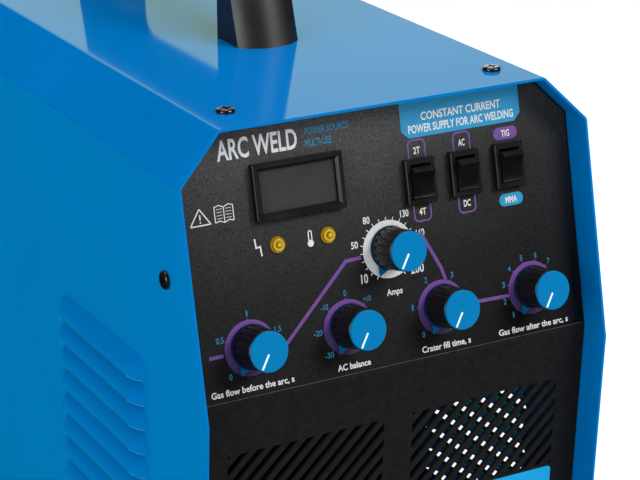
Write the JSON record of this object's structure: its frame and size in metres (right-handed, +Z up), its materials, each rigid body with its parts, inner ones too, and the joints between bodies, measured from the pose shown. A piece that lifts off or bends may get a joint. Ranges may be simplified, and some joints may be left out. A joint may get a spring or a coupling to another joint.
{
  "type": "tig welding machine",
  "caption": "Portable TIG welding machine: louvred sheet-metal case, leaning control panel with rotary knobs and rocker switches, vented lower front, top carrying handle and rear fan.",
  "frame": {"origin": "middle of the footprint, on the surface the feet stand on", "axes": "+Z up, the control panel faces -Y, +X to the right of someone facing the panel"},
  "size_m": [0.2258, 0.482, 0.414],
  "materials": {
    "cover_paint": "glossy powder coat",
    "panel_paint": "fine-textured powder coat",
    "overlay_print": "printed film, matt",
    "label_print": "printed film, matt",
    "black_plastic": "moulded",
    "rocker_plastic": "moulded, satin",
    "knob_blue": "moulded",
    "display_glass": "smoked",
    "amber_lens": "clear moulded lens",
    "circuit_board": "solder mask",
    "brass": "turned",
    "zinc_steel": "zinc plated",
    "black_screw": "black oxide",
    "rubber": "moulded",
    "aluminium": "extruded",
    "winding": "varnished copper and ferrite"
  },
  "bodies": {
    "root": {"base_tray": "panel_paint", "breaker": "black_plastic", "cable_gland": "black_plastic", "control_board": "circuit_board", "control_overlay": "overlay_print", "control_socket": "black_plastic", "cover": "cover_paint", "cover_screws": "black_screw", "display_bezel": "black_plastic", "display_board": "circuit_board", "display_window": "display_glass", "earth_stud": "zinc_steel", "fan_frame": "black_plastic", "fan_guard": "zinc_steel", "fan_screws": "black_screw", "feet": "rubber", "feet_screws": "black_screw", "front_panel": "panel_paint", "gas_inlet": "brass", "gas_outlet": "brass", "gas_valve": "brass", "handle": "black_plastic", "handle_bolts": "zinc_steel", "heat_sink": "aluminium", "lamp_left": "amber_lens", "lamp_right": "amber_lens", "potentiometers": "zinc_steel", "power_board": "circuit_board", "rear_panel": "panel_paint", "rocker_frame_1": "black_plastic", "rocker_frame_2": "black_plastic", "rocker_frame_3": "black_plastic", "socket_inserts": "brass", "socket_label": "label_print", "socket_minus": "black_plastic", "socket_plus": "black_plastic", "transformer": "winding"},
    "knob_1": {"knob_grip_1": "black_plastic", "knob_trim_1": "knob_blue", "pot_shaft_1": "zinc_steel"},
    "knob_2": {"knob_grip_2": "black_plastic", "knob_trim_2": "knob_blue", "pot_shaft_2": "zinc_steel"},
    "knob_3": {"knob_grip_3": "black_plastic", "knob_trim_3": "knob_blue", "pot_shaft_3": "zinc_steel"},
    "knob_4": {"knob_grip_4": "black_plastic", "knob_trim_4": "knob_blue", "pot_shaft_4": "zinc_steel"},
    "knob_5": {"knob_grip_5": "black_plastic", "knob_trim_5": "knob_blue", "pot_shaft_5": "zinc_steel"},
    "rocker_1": {"rocker_1": "rocker_plastic"},
    "rocker_2": {"rocker_2": "rocker_plastic"},
    "rocker_3": {"rocker_3": "rocker_plastic"},
    "fan_rotor": {"fan_rotor": "black_plastic"},
    "breaker_lever": {"breaker_lever": "rocker_plastic"}
  },
  "joints": [
    {"name": "knob_1_turn", "type": "hinge", "parent": "root", "child": "knob_1", "pos_m": [-0.0744, -0.22877, 0.26257], "axis": [0, 0.9757, -0.219], "range_deg": [0, 300]},
    {"name": "knob_2_turn", "type": "hinge", "parent": "root", "child": "knob_2", "pos_m": [-0.0238, -0.22877, 0.26257], "axis": [0, 0.9757, -0.219], "range_deg": [0, 300]},
    {"name": "knob_3_turn", "type": "hinge", "parent": "root", "child": "knob_3", "pos_m": [0.0015, -0.22174, 0.29389], "axis": [0, 0.9757, -0.219], "range_deg": [0, 300]},
    {"name": "knob_4_turn", "type": "hinge", "parent": "root", "child": "knob_4", "pos_m": [0.0268, -0.22877, 0.26257], "axis": [0, 0.9757, -0.219], "range_deg": [0, 300]},
    {"name": "knob_5_turn", "type": "hinge", "parent": "root", "child": "knob_5", "pos_m": [0.0774, -0.22877, 0.26257], "axis": [0, 0.9757, -0.219], "range_deg": [0, 300]},
    {"name": "rocker_1_tilt", "type": "hinge", "parent": "root", "child": "rocker_1", "pos_m": [0.0205, -0.20721, 0.31984], "axis": [-1, 0, 0], "range_deg": [0, 26]},
    {"name": "rocker_2_tilt", "type": "hinge", "parent": "root", "child": "rocker_2", "pos_m": [0.0451, -0.20721, 0.31984], "axis": [-1, 0, 0], "range_deg": [0, 26]},
    {"name": "rocker_3_tilt", "type": "hinge", "parent": "root", "child": "rocker_3", "pos_m": [0.0697, -0.20721, 0.31984], "axis": [-1, 0, 0], "range_deg": [0, 26]},
    {"name": "fan_spin", "type": "hinge", "parent": "root", "child": "fan_rotor", "pos_m": [0, 0.201, 0.148], "axis": [0, 1, 0], "continuous": true},
    {"name": "breaker_throw", "type": "hinge", "parent": "root", "child": "breaker_lever", "pos_m": [-0.058, 0.209, 0.308], "axis": [1, 0, 0], "range_deg": [0, 48]}
  ]
}
